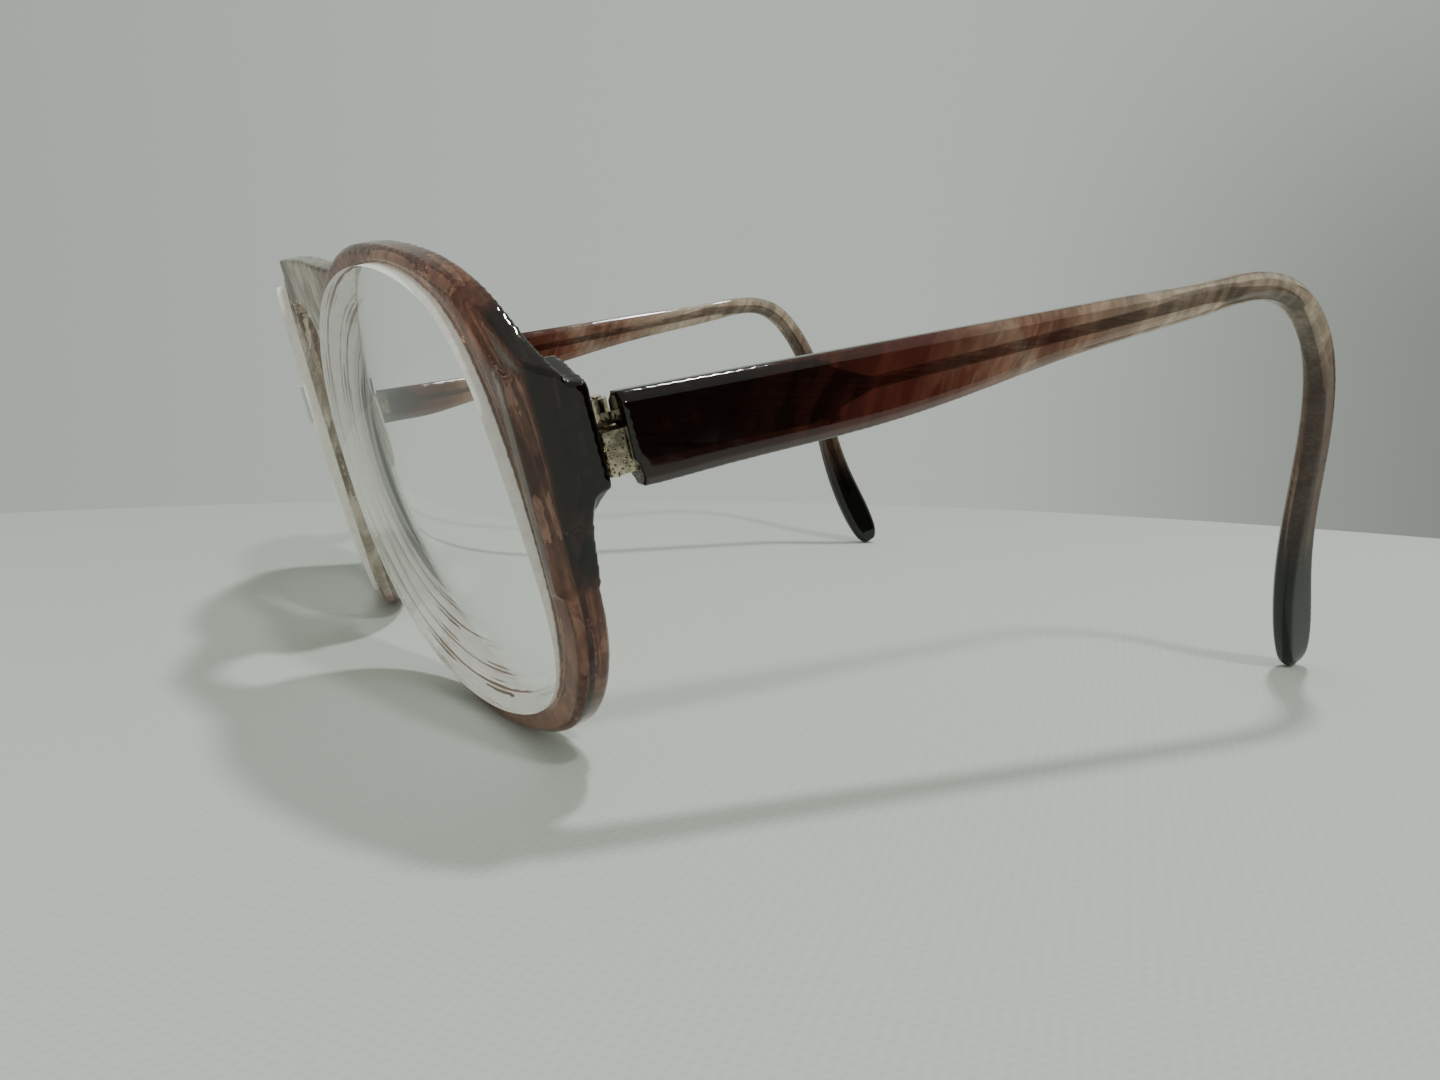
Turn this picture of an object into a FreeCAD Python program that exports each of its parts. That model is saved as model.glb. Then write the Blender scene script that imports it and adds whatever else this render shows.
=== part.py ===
"""Full-rim acetate eyeglasses: a one-piece acetate front with two glazed eyes, two wire-cored
acetate temples and a five-barrel screw hinge on each side.

Two working attitudes are used.  The worn attitude has the temples level, +Y towards the back of
the head and +X towards the wearer's left; the left side is modelled and mirrored to the right.
The rest attitude is the worn attitude pitched about X until the rims' lower edges and the temple
tips touch the table (Z = 0).  Every file is written in the rest attitude, in millimetres.
"""
import FreeCAD, Part
import math
import os

V = FreeCAD.Vector
X, Y, Z = V(1, 0, 0), V(0, 1, 0), V(0, 0, 1)
ORIGIN = V(0, 0, 0)

# ---- attitudes ------------------------------------------------------------------------------
PANTOSCOPIC = 5.0           # degrees the front leans out of square with the temples, top forward
WRAP = 8.2                  # degrees each eye is turned about the bridge (face form)
CLEAR = 90.0                # a length that runs past every piece, for cutting tools

# ---- eyes: lens plane coordinates are u (towards the temple), v (up), w (backwards) -----------
EYE_CENTRE_X = 36.0         # half the distance between lens centres
# sixteen even steps from the temple side, by way of the top, the nose and the bottom
OPENING_RADII = [24.4, 24.8, 26.3, 25.8, 25.6, 26.4, 27.4, 26.8,
                 25.7, 26.8, 27.5, 26.8, 26.5, 27.6, 28.7, 26.5]
RIM_WIDTHS = [5.4, 5.2, 3.6, 2.0, 2.0, 3.3, 3.6, 3.6,
              3.6, 3.6, 3.2, 2.6, 2.3, 2.6, 3.9, 5.6]
RIM_DEPTH = 3.5             # front to back
RIM_BEVEL_FRONT = 0.8       # bevel along the rim's outer front edge
RIM_BEVEL_BACK = 0.5
OPENING_BEVEL = 0.15        # bevel along the opening's front edge
SETBACK = 0.8               # how far the bridge and the brow lie behind the rim's front face

# ---- lens -----------------------------------------------------------------------------------
LENS_FRONT_VERTEX_W = -2.85 # the front surface bulges this far in front of the rim's front face
OPTICAL_CENTRE = (-2.5, 3.0)    # the thinnest place, off the middle of the eye (u, v)
LENS_CENTRE_THICKNESS = 1.9
LENS_BLANK_FRONT_W = -6.0   # the uncut blank, front and depth
LENS_BLANK_DEPTH = 20.0
LENS_FRONT_RADIUS = 200.0
LENS_BACK_RADIUS = 75.0
BEVEL_HEIGHT = 0.55         # ridge round the lens that holds it in the rim's groove
BEVEL_HALF_WIDTH = 0.65
BEVEL_W = 1.5               # the ridge's place behind the rim's front face
GROOVE_CLEARANCE = 0.03

# ---- bridge ---------------------------------------------------------------------------------
BRIDGE_TOP_V = 28.75
BRIDGE_UNDER_V = 22.4
BRIDGE_RUN_PAST = 1.0       # each half is made this much past the middle, then trimmed

# ---- end piece ------------------------------------------------------------------------------
END_X = 69.2                # outside face of the temple and of the end piece
END_BACK_Y = 9.9            # back face of the end piece, measured square to the front
END_INNER_X = 61.9
END_TOP_Z = 11.4            # at the outside; the top rises inwards
END_TOP_INNER_Z = 13.9
END_BOTTOM_Z = 1.5
END_BEVEL_X = 64.6          # where the outside bevel starts on the front face
END_BEVEL_BACK_Y = 8.9
HEEL_BOTTOM_Z = -8.5        # the foot of the block fades into the rim here
HEEL_FRONT_Y = 4.0
HEEL_CLEAR = 5.0            # the heel's cut runs this far past the block

# ---- temple ---------------------------------------------------------------------------------
TEMPLE_THICKNESS = 4.0
BUTT_GAP = 2.7              # clear gap between the end piece and the temple's front end
TEMPLE_CENTRE_X = END_X - TEMPLE_THICKNESS / 2
BOW_LEAN = 0.225            # inward lean of the bow, per millimetre of drop
BOW_LEAN_START_Z = 6.0
# centreline stations, worn attitude: (y, z, height of section, thickness of section)
TEMPLE_STATIONS = [
    (9.0, 6.30, 9.0, 4.00), (20.0, 6.30, 9.0, 4.00), (30.0, 6.45, 8.7, 3.95),
    (42.0, 6.70, 8.2, 3.80), (54.0, 7.35, 6.9, 3.65), (66.0, 8.10, 5.4, 3.50),
    (78.0, 8.55, 4.5, 3.40), (89.0, 8.95, 3.7, 3.35), (97.5, 9.00, 3.4, 3.35),
    (102.6, 7.00, 3.6, 3.40), (106.6, 2.40, 3.8, 3.40), (109.3, -4.40, 4.0, 3.40),
    (110.4, -13.0, 4.2, 3.40), (110.5, -22.5, 4.5, 3.40), (111.4, -32.0, 5.5, 3.30),
    (113.1, -39.4, 6.2, 3.10), (114.5, -44.5, 5.6, 2.80), (115.2, -46.9, 4.2, 2.20),
    (115.5, -47.9, 2.4, 1.40),
]
NOTCH_TOP_Z = 3.2           # below this the temple's front end is set back
NOTCH_SETBACK = 0.9
NOTCH_SLOPE = 0.4           # rise of the slanted top of the notch
NOTCH_BOTTOM_Z = -3.0
SECTION_CHAMFER = 0.28      # corner chamfer of a temple section, share of its thickness
SECTION_CHAMFER_MOST = 0.6  # and no more than this share of its half height

# ---- wire core ------------------------------------------------------------------------------
WIRE_RADIUS = 0.65
SHIELD_THICKNESS = 0.8
SHIELD_HEIGHT = 5.6
SHIELD_START_Y = 13.2
SHIELD_END_Y = 32.0         # the flat part ends and the dart starts
DART_END_Y = 39.5
SHIELD_CENTRE_Z = 6.9
DART_TIP_Z = (-0.5, 0.6)    # the dart's tip, about the shield's centre
DART_SKEW = 1.5             # the dart's upper edge starts this much further back
CORNER_RUN = 0.45           # share of a straight run taken by the arc at its end
# wire route, worn attitude (y, z): straight runs joined by arcs
WIRE_ROUTE = [(38.5, 6.9), (66.0, 7.95), (91.0, 9.1), (103.0, 7.7), (109.0, -3.5), (110.5, -14.0),
              (110.6, -27.0), (112.6, -36.5)]

# ---- hinge (axis stands square to the front's plan, in the front's attitude) ------------------
HINGE_X = 63.3
BARREL_RADIUS = 1.6
BARREL_PLATE_GAP = 0.12     # barrel to the front leaf's plate
HINGE_Y = END_BACK_Y + BARREL_RADIUS + BARREL_PLATE_GAP
HINGE_MID_Z = 5.75
KNUCKLES = 5
KNUCKLE_PITCH = 1.28
KNUCKLE_GAP = 0.04
KNUCKLE_ARM_HALF = 1.2      # the front leaf's arms, either side of the axis
KNUCKLE_ARM_SINK = 0.01     # arms run this far into the plate, so that they join it
TEMPLE_ARM_INSIDE = 0.2     # the temple leaf's arms start this far inside the axis
TEMPLE_ARM_SINK = 0.3
TEMPLE_ARM_ROOT = 1.6       # and are rooted this far along the plate
BORE_RADIUS = 0.76
SCREW_RADIUS = 0.70
SCREW_END = 0.3             # the shank shows this much below the bottom knuckle
SCREW_HEAD_RADIUS = 1.15
SCREW_HEAD_HEIGHT = 0.7
SCREW_SLOT_WIDTH = 0.3
SCREW_SLOT_DEPTH = 0.35
SCREW_SEAT_DEPTH = 0.45     # the head is let into the top knuckle
PLATE_THICKNESS = 0.9
PLATE_HALF_H = 3.0
FRONT_PLATE_X = (62.3, 67.6)
TEMPLE_PLATE_LENGTH = 7.6
TEMPLE_PLATE_SETBACK = 0.9  # from the temple's front end
TEMPLE_PLATE_MID_Z = 6.95   # worn attitude
TEMPLE_PLATE_HALF_H = 2.6
TEMPLE_PLATE_PROUD = 0.35   # how far the temple leaf stands out of the temple's inside face
CAST_CLEARANCE = 0.45       # cast block of the temple leaf to the end piece
CAST_SINK = 0.5             # depth of the cast block let into the temple's front end
CAST_X = (65.05, 68.1)
CAST_Z = (2.1, 6.35)
CAST_ROOT_LAP = 0.1         # the block's root laps the block and the plate
CAST_ROOT_STEP = 0.4        # the root starts this far above the block's foot
RIVET_RADIUS = 0.6
RIVET_HEAD_RADIUS = 0.95
RIVET_HEAD_HEIGHT = 0.25
FRONT_RIVET_Z = (-1.7, 1.7)
FRONT_RIVET_X = 66.3
FRONT_RIVET_LENGTH = 3.0
TEMPLE_RIVET_Y = (4.2, 7.3)
TEMPLE_RIVET_LENGTH = 2.9

# ---- nose pads ------------------------------------------------------------------------------
PAD_CENTRE = V(9.1, 1.3, 5.5)
PAD_HALF = (2.1, 5.8)       # half width and half height of the pad's oval
PAD_THICKNESS = 2.4
PAD_SPLAY = 38.0            # degrees the pad's face is turned from facing the other pad
PAD_FRONTAL = 9.0           # degrees the pads open towards the bottom
PAD_LENS_GAP = 0.15         # clearance kept to the lens's edge
PAD_REACH = 15.0            # further back than any part of a pad


# ---- placing --------------------------------------------------------------------------------
def turned(shape, axis, degrees, centre=ORIGIN):
    copy = shape.copy()
    copy.rotate(centre, axis, degrees)
    return copy


def moved(shape, vector):
    copy = shape.copy()
    copy.translate(vector)
    return copy


def eye_to_front(shape):
    """Lens plane coordinates (u, w, v) to the upright front's coordinates."""
    return moved(turned(shape, Z, WRAP), V(EYE_CENTRE_X, 0, 0))


def front_to_worn(shape):
    """The upright front leans forward by the pantoscopic angle about the lens centre line."""
    return turned(shape, X, PANTOSCOPIC)


def mirrored(shape):
    return shape.mirror(ORIGIN, X)


# ---- outlines -------------------------------------------------------------------------------
def ring_wire(grow, w, follow_rim=0.0):
    """Closed outline round the opening, grown by a margin and a share of the rim's width."""
    points = []
    for i, (radius, width) in enumerate(zip(OPENING_RADII, RIM_WIDTHS)):
        a = 2 * math.pi * i / len(OPENING_RADII)
        r = radius + grow + follow_rim * width
        points.append(V(r * math.cos(a), w, r * math.sin(a)))
    curve = Part.BSplineCurve()
    curve.interpolate(points, PeriodicFlag=True)
    return Part.Wire([curve.toShape()])


def stack(levels):
    """Bevelled disc through (w, grow, follow_rim) outlines, straight between neighbours."""
    discs = []
    for (w0, g0, f0), (w1, g1, f1) in zip(levels, levels[1:]):
        if g0 == g1:
            discs.append(prism(ring_wire(g0, w0, f0), w1 - w0))
        else:
            discs.append(Part.makeLoft([ring_wire(g0, w0, f0), ring_wire(g1, w1, f1)], True, True))
    return discs[0].fuse(discs[1:])


def prism(wire, depth):
    return Part.Face(wire).extrude(V(0, depth, 0))


def spline_edge(points):
    curve = Part.BSplineCurve()
    curve.interpolate([V(u, 0, v) for u, v in points])
    return curve.toShape()


def polygon_wire(points):
    return Part.makePolygon([V(u, 0, v) for u, v in points])


def crosswise(corners, x0, x1):
    """A slab between two X places with the given (y, z) outline."""
    points = [V(x0, y, z) for y, z in corners]
    return Part.Face(Part.makePolygon(points + points[:1])).extrude(V(x1 - x0, 0, 0))


def box(x0, x1, y0, y1, z0, z1):
    return Part.makeBox(x1 - x0, y1 - y0, z1 - z0, V(x0, y0, z0))


# ---- front ----------------------------------------------------------------------------------
def plate_half(top, under, inner):
    """Flat plate between two curves, set back from the rim's front face."""
    edges = [spline_edge(top), spline_edge(under)]
    edges.append(polygon_wire([top[-1], under[0]]).Edges[0])
    edges += polygon_wire([under[-1]] + inner + [top[0]]).Edges
    plate = prism(Part.Wire(Part.__sortEdges__(edges)), RIM_DEPTH - SETBACK)
    return moved(plate, V(0, SETBACK, 0))


def brow_prism():
    """The brow that sweeps from the top of the rim out to the end piece."""
    top = [(16.0, 23.4), (20.2, 21.7), (23.8, 19.2), (27.0, 16.4), (30.2, 14.1), (34.8, END_TOP_Z)]
    under = [(34.8, END_BOTTOM_Z), (32.6, -0.5), (31.3, -3.6), (30.2, -8.2)]
    return plate_half(top, under, [(27.0, -8.2), (26.0, 4.0), (22.5, 14.5), (16.0, 22.6)])


def bridge_prism():
    """Half of the bar between the eyes, run past the middle so that the halves meet."""
    middle_u = -EYE_CENTRE_X / math.cos(math.radians(WRAP)) - BRIDGE_RUN_PAST
    top = [(-10.0, 25.0), (-15.0, 25.8), (-18.2, 26.2), (-21.2, 26.75), (-24.2, 27.35)]
    top += [(-30.3, 28.3), (middle_u, BRIDGE_TOP_V)]
    under = [(middle_u, BRIDGE_UNDER_V), (-31.0, 21.4), (-28.6, 17.2), (-28.4, 9.0)]
    return plate_half(top, under, [(-26.5, 9.0), (-20.5, 19.0), (-10.0, 24.8)])


def rim_solid():
    levels = [
        (0.0, -RIM_BEVEL_FRONT, 1.0),
        (RIM_BEVEL_FRONT, 0.0, 1.0),
        (RIM_DEPTH - RIM_BEVEL_BACK, 0.0, 1.0),
        (RIM_DEPTH, -RIM_BEVEL_BACK, 1.0),
    ]
    return stack(levels)


def opening_solid():
    levels = [(-4.0, 4.0 + OPENING_BEVEL, 0.0), (OPENING_BEVEL, 0.0, 0.0), (RIM_DEPTH + 8.0, 0.0, 0.0)]
    return stack(levels)


def bevel_ring(clearance):
    """The V ridge round a lens, or with a clearance the groove that takes it."""
    half = BEVEL_HALF_WIDTH + clearance
    sections = [(0.0, -half), (BEVEL_HEIGHT, 0.0), (0.0, half)]
    return stack([(BEVEL_W + w, g + clearance, 0.0) for g, w in sections])


def end_piece_block():
    """The block behind the brow that carries the hinge, with a foot that fades into the rim."""
    under = [(END_X, END_BOTTOM_Z), (66.9, -0.4), (65.7, -3.2), (65.1, HEEL_BOTTOM_Z)]
    rest = [(END_INNER_X, HEEL_BOTTOM_Z), (END_INNER_X, END_TOP_INNER_Z), (END_X, END_TOP_Z), under[0]]
    wire = Part.Wire([spline_edge(under)] + polygon_wire([under[-1]] + rest).Edges)
    block = moved(prism(wire, END_BACK_Y - RIM_DEPTH), V(0, RIM_DEPTH, 0))
    back, floor = END_BACK_Y + HEEL_CLEAR, HEEL_BOTTOM_Z - HEEL_CLEAR
    corners = [(HEEL_FRONT_Y, HEEL_BOTTOM_Z), (END_BACK_Y, END_BOTTOM_Z), (back, END_BOTTOM_Z)]
    corners += [(back, floor), (HEEL_FRONT_Y, floor)]
    return block.cut(crosswise(corners, 0.0, CLEAR))


def outside_bevel():
    """The wedge cut off the outer front corner, which leaves the end piece's slanted face."""
    front_y = (END_BEVEL_X - EYE_CENTRE_X) * math.tan(math.radians(WRAP))
    far = END_BACK_Y
    slope = (END_BEVEL_BACK_Y - front_y) / (END_X - END_BEVEL_X)
    corners = [
        (END_BEVEL_X, front_y),
        (END_X, END_BEVEL_BACK_Y),
        (END_X, END_BACK_Y + far),
        (END_X + far, END_BACK_Y + far),
        (END_X + far, front_y - far),
        (END_BEVEL_X - far / slope / 2, front_y - far / 2),
    ]
    points = [V(x, y, -CLEAR) for x, y in corners]
    return Part.Face(Part.makePolygon(points + points[:1])).extrude(V(0, 0, 2 * CLEAR))


def front_half():
    plate = rim_solid().fuse([brow_prism(), bridge_prism()])
    half = eye_to_front(plate).fuse(end_piece_block())
    groove = eye_to_front(bevel_ring(GROOVE_CLEARANCE))
    half = half.cut([eye_to_front(opening_solid()), groove, outside_bevel()])
    return half.cut(box(-CLEAR, 0, -CLEAR, CLEAR, -CLEAR, CLEAR))


def front_frame(pockets):
    """The acetate front, with the pockets for the hinge's plates and rivets sunk into it."""
    half = front_half().cut(pockets)
    return half.fuse(mirrored(half)).removeSplitter()


# ---- lens -----------------------------------------------------------------------------------
def lens():
    """A minus meniscus lens: thin in the middle, thick at its ground edge."""
    def ball(vertex_w, radius):
        return Part.makeSphere(radius, V(OPTICAL_CENTRE[0], vertex_w + radius, OPTICAL_CENTRE[1]))

    disc = prism(ring_wire(-GROOVE_CLEARANCE, LENS_BLANK_FRONT_W), LENS_BLANK_DEPTH)
    blank = disc.fuse(bevel_ring(0.0))
    front_ball = ball(LENS_FRONT_VERTEX_W, LENS_FRONT_RADIUS)
    back_ball = ball(LENS_FRONT_VERTEX_W + LENS_CENTRE_THICKNESS, LENS_BACK_RADIUS)
    return eye_to_front(blank.common(front_ball).cut(back_ball))


# ---- nose pads ------------------------------------------------------------------------------
def nose_pad(frame):
    """An oval pad glued to the nasal side of the rim, shaped to fit it."""
    oval = Part.Ellipse(ORIGIN, PAD_HALF[1], PAD_HALF[0]).toShape()
    face = Part.Face(Part.Wire([oval]))
    pad = turned(turned(face.extrude(V(0, 0, PAD_THICKNESS)), Z, 90), X, 90)
    pad = turned(pad, Z, -90 + PAD_SPLAY)
    pad = turned(pad, Y, -PAD_FRONTAL)
    eye = eye_to_front(prism(ring_wire(PAD_LENS_GAP, 0.0), PAD_REACH))
    return moved(pad, PAD_CENTRE).cut([frame, eye])


# ---- hinge ----------------------------------------------------------------------------------
def barrel_level(index):
    """Bottom and top of one knuckle on the hinge's axis."""
    bottom = HINGE_MID_Z - KNUCKLES * KNUCKLE_PITCH / 2 + index * KNUCKLE_PITCH
    return bottom + KNUCKLE_GAP / 2, bottom + KNUCKLE_PITCH - KNUCKLE_GAP / 2


def knuckle(index, arm):
    z0, z1 = barrel_level(index)
    barrel = Part.makeCylinder(BARREL_RADIUS, z1 - z0, V(HINGE_X, HINGE_Y, z0))
    x0, x1, y0, y1 = arm
    body = barrel.fuse(box(x0, x1, y0, y1, z0, z1))
    bore = Part.makeCylinder(BORE_RADIUS, 3 * KNUCKLE_PITCH, V(HINGE_X, HINGE_Y, z0 - KNUCKLE_PITCH))
    return body.cut(bore)


def hinge_front_leaf():
    """Three knuckles on a plate let into the back of the end piece."""
    plate = box(FRONT_PLATE_X[0], FRONT_PLATE_X[1], END_BACK_Y - PLATE_THICKNESS, END_BACK_Y,
                HINGE_MID_Z - PLATE_HALF_H, HINGE_MID_Z + PLATE_HALF_H)
    arm = (HINGE_X - KNUCKLE_ARM_HALF, HINGE_X + KNUCKLE_ARM_HALF, END_BACK_Y - KNUCKLE_ARM_SINK, HINGE_Y)
    leaf = plate.fuse([knuckle(i, arm) for i in range(0, KNUCKLES, 2)])
    top = barrel_level(KNUCKLES - 1)[1]
    seat = V(HINGE_X, HINGE_Y, top - SCREW_SEAT_DEPTH)
    sink = Part.makeCylinder(SCREW_HEAD_RADIUS + KNUCKLE_GAP, KNUCKLE_PITCH, seat)
    return leaf.cut(sink).removeSplitter()


def temple_inner_x():
    return END_X - TEMPLE_THICKNESS


def butt_y():
    return END_BACK_Y + BUTT_GAP


def temple_plate_z(y):
    """Middle of the temple leaf's plate: it follows the temple, which leans to the front's square."""
    lean = math.radians(PANTOSCOPIC)
    return TEMPLE_PLATE_MID_Z / math.cos(lean) - y * math.tan(lean)


def hinge_temple_leaf():
    """Two knuckles and a cast block on a plate let into the inside face of the temple."""
    x1 = temple_inner_x() + PLATE_THICKNESS - TEMPLE_PLATE_PROUD
    x0 = temple_inner_x() - TEMPLE_PLATE_PROUD
    y0 = butt_y() + TEMPLE_PLATE_SETBACK
    y1 = y0 + TEMPLE_PLATE_LENGTH
    half = TEMPLE_PLATE_HALF_H
    corners = [(y0, -half), (y1, -half), (y1, half), (y0, half)]
    plate = crosswise([(y, temple_plate_z(y) + z) for y, z in corners], x0, x1)
    arm = (HINGE_X - TEMPLE_ARM_INSIDE, x0 + TEMPLE_ARM_SINK, HINGE_Y, y0 + TEMPLE_ARM_ROOT)
    block_back = butt_y() + CAST_SINK
    block = box(*CAST_X, END_BACK_Y + CAST_CLEARANCE, block_back, *CAST_Z)
    root = box(x0, x1, block_back - CAST_ROOT_LAP, y0 + CAST_ROOT_LAP, CAST_Z[0] + CAST_ROOT_STEP, CAST_Z[1])
    knuckles = [knuckle(i, arm) for i in range(1, KNUCKLES, 2)]
    return plate.fuse(knuckles + [block, root]).removeSplitter()


def hinge_screw():
    bottom, top = barrel_level(0)[0], barrel_level(KNUCKLES - 1)[1]
    seat = top - SCREW_SEAT_DEPTH
    foot = V(HINGE_X, HINGE_Y, bottom - SCREW_END)
    shank = Part.makeCylinder(SCREW_RADIUS, seat - foot.z, foot)
    head = Part.makeCylinder(SCREW_HEAD_RADIUS, SCREW_HEAD_HEIGHT, V(HINGE_X, HINGE_Y, seat))
    reach, half = 2 * SCREW_HEAD_RADIUS, SCREW_SLOT_WIDTH / 2
    slot_bottom = seat + SCREW_HEAD_HEIGHT - SCREW_SLOT_DEPTH
    slot = box(HINGE_X - reach, HINGE_X + reach, HINGE_Y - half, HINGE_Y + half, slot_bottom, seat + reach)
    return shank.fuse(head).cut(slot).removeSplitter()


def front_rivets():
    """Two rivets that hold the front leaf; each is one solid."""
    solids = []
    for z in FRONT_RIVET_Z:
        at = V(FRONT_RIVET_X, END_BACK_Y, HINGE_MID_Z + z)
        pin = Part.makeCylinder(RIVET_RADIUS, FRONT_RIVET_LENGTH, at, V(0, -1, 0))
        head = Part.makeCylinder(RIVET_HEAD_RADIUS, RIVET_HEAD_HEIGHT, at, Y)
        solids.append(pin.fuse(head).removeSplitter())
    return solids


def temple_rivets():
    solids = []
    face_x = temple_inner_x() - TEMPLE_PLATE_PROUD
    for y in TEMPLE_RIVET_Y:
        at = V(face_x, butt_y() + y, temple_plate_z(butt_y() + y))
        pin = Part.makeCylinder(RIVET_RADIUS, TEMPLE_RIVET_LENGTH, at, X)
        head = Part.makeCylinder(RIVET_HEAD_RADIUS, RIVET_HEAD_HEIGHT, at, V(-1, 0, 0))
        solids.append(pin.fuse(head).removeSplitter())
    return solids


# ---- temple ---------------------------------------------------------------------------------
def lean_x(z):
    """The bow leans inwards as it drops behind the ear."""
    drop = max(0.0, BOW_LEAN_START_Z - z)
    return TEMPLE_CENTRE_X - BOW_LEAN * drop * drop / (drop + 6.0)


def section_wire(centre, along, height, thickness):
    """A chamfered rectangle square to the temple's run."""
    side = X - along * X.dot(along)
    side.normalize()
    up = side.cross(along)
    a, b = thickness / 2, height / 2
    c = min(SECTION_CHAMFER * thickness, SECTION_CHAMFER_MOST * b)
    ring = [(a, -b + c), (a, b - c), (a - c, b), (-a + c, b)]
    ring += [(-p, -q) for p, q in ring]
    points = [centre + side * p + up * q for p, q in ring]
    return Part.makePolygon(points + points[:1])


def temple_body():
    """The acetate temple, lofted along its centreline from the butt to the tip."""
    centres = [V(lean_x(z), y, z) for y, z, _, _ in TEMPLE_STATIONS]
    wires = []
    for i, (_, _, height, thickness) in enumerate(TEMPLE_STATIONS):
        along = centres[min(i + 1, len(centres) - 1)] - centres[max(i - 1, 0)]
        along.normalize()
        wires.append(section_wire(centres[i], along, height, thickness))
    body = Part.makeLoft(wires, True, False)
    notch = [(butt_y(), NOTCH_TOP_Z), (butt_y() + NOTCH_SETBACK / 2, NOTCH_TOP_Z - NOTCH_SLOPE)]
    notch += [(butt_y() + NOTCH_SETBACK, NOTCH_BOTTOM_Z), (0, NOTCH_BOTTOM_Z), (0, NOTCH_TOP_Z)]
    butt = box(0, CLEAR, -CLEAR, butt_y(), -CLEAR, CLEAR)
    return body.cut([front_to_worn(butt), front_to_worn(crosswise(notch, 0, CLEAR))])


def wire_path():
    """Straight runs joined by tangent arcs, as large as the runs allow."""
    points = [V(lean_x(z), y, z) for y, z in WIRE_ROUTE]
    edges, start = [], points[0]
    for before, corner, after in zip(points, points[1:], points[2:]):
        a, b = before - corner, after - corner
        run = CORNER_RUN * min(a.Length, b.Length)
        a.normalize()
        b.normalize()
        tangent_in, tangent_out = corner + a * run, corner + b * run
        half_turn = (math.pi - a.getAngle(b)) / 2
        radius = run / math.tan(half_turn)
        bisector = a + b
        bisector.normalize()
        middle = corner + bisector * (radius / math.cos(half_turn) - radius)
        edges.append(Part.LineSegment(start, tangent_in).toShape())
        edges.append(Part.Arc(tangent_in, middle, tangent_out).toShape())
        start = tangent_out
    edges.append(Part.LineSegment(start, points[-1]).toShape())
    return Part.Wire(edges)


def temple_core():
    """The stiffening wire, with the flattened shield at its hinge end."""
    path = wire_path()
    start = path.Edges[0]
    along = start.tangentAt(start.FirstParameter)
    circle = Part.Wire([Part.makeCircle(WIRE_RADIUS, start.valueAt(start.FirstParameter), along)])
    wire = path.makePipeShell([circle], True, False, 1)
    half = SHIELD_HEIGHT / 2
    outline = [(SHIELD_START_Y, -half), (SHIELD_END_Y, -half), (DART_END_Y, DART_TIP_Z[0])]
    outline += [(DART_END_Y, DART_TIP_Z[1]), (SHIELD_END_Y + DART_SKEW, half), (SHIELD_START_Y, half)]
    x0 = TEMPLE_CENTRE_X - SHIELD_THICKNESS / 2
    shield = crosswise([(y, SHIELD_CENTRE_Z + z) for y, z in outline], x0, x0 + SHIELD_THICKNESS)
    return wire.fuse(shield).removeSplitter()


# ---- assembly -------------------------------------------------------------------------------
def left_side():
    """Every piece of the left side, and the front's half pockets, in the worn attitude."""
    front_leaf, screw = hinge_front_leaf(), hinge_screw()
    rivets_front, rivets_temple = front_rivets(), temple_rivets()
    temple_leaf = front_to_worn(hinge_temple_leaf().cut(rivets_temple))
    rivets_temple = [front_to_worn(r) for r in rivets_temple]
    core = temple_core().cut(rivets_temple)
    temple = temple_body().cut([temple_leaf, core] + rivets_temple)
    pockets = [front_leaf] + rivets_front
    pieces = {
        "lens": front_to_worn(lens()),
        "hinge_front_leaf": front_to_worn(front_leaf.cut(rivets_front)),
        "hinge_screw": front_to_worn(screw),
        "hinge_front_rivets": Part.makeCompound([front_to_worn(r) for r in rivets_front]),
        "hinge_temple_rivets": Part.makeCompound(rivets_temple),
        "hinge_temple_leaf": temple_leaf,
        "temple_core": core,
        "temple": temple,
    }
    return pieces, pockets


def build():
    pieces, pockets = left_side()
    frame = front_frame(pockets)
    pieces["nose_pad"] = front_to_worn(nose_pad(frame))
    nodes = {"front_frame": front_to_worn(frame)}
    for name, shape in pieces.items():
        nodes[name + "_left"] = shape
        nodes[name + "_right"] = mirrored(shape)
    return nodes


def lowest(shape, degrees):
    return turned(shape, X, degrees).optimalBoundingBox(False).ZMin


def standing_pitch(front, temple):
    """The pitch, back up, at which rims and temple tips touch a table together, by halving."""
    low, high = 5.0, 20.0
    for _ in range(16):
        middle = (low + high) / 2
        if lowest(temple, middle) < lowest(front, middle):
            low = middle
        else:
            high = middle
    return (low + high) / 2


def rest_on_table(nodes):
    """Pitch about X, then drop to Z = 0 with the bounding box centred on X and Y."""
    pitch = standing_pitch(nodes["front_frame"], nodes["temple_left"])
    print("pitch", pitch)
    posed = {name: turned(shape, X, pitch) for name, shape in nodes.items()}
    boxes = [shape.optimalBoundingBox(False) for shape in posed.values()]
    middle_y = (min(b.YMin for b in boxes) + max(b.YMax for b in boxes)) / 2
    bottom = min(b.ZMin for b in boxes)
    print("shift", -middle_y, -bottom)
    return {name: moved(shape, V(0, -middle_y, -bottom)) for name, shape in posed.items()}


os.makedirs("parts", exist_ok=True)
for node_name, node_shape in rest_on_table(build()).items():
    node_shape.exportStep("parts/" + node_name + ".step")
    print(node_name, node_shape.isValid(), len(node_shape.Solids), round(node_shape.Volume, 2))
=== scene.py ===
"""Acetate eyeglasses on a small round table: marbled frame, glazed eyes, wire-cored temples, gold hinges.

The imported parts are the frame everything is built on.  Their meshes are never changed: a part whose
edges should be softer is shown as a polished copy that stands for it.
"""

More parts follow.
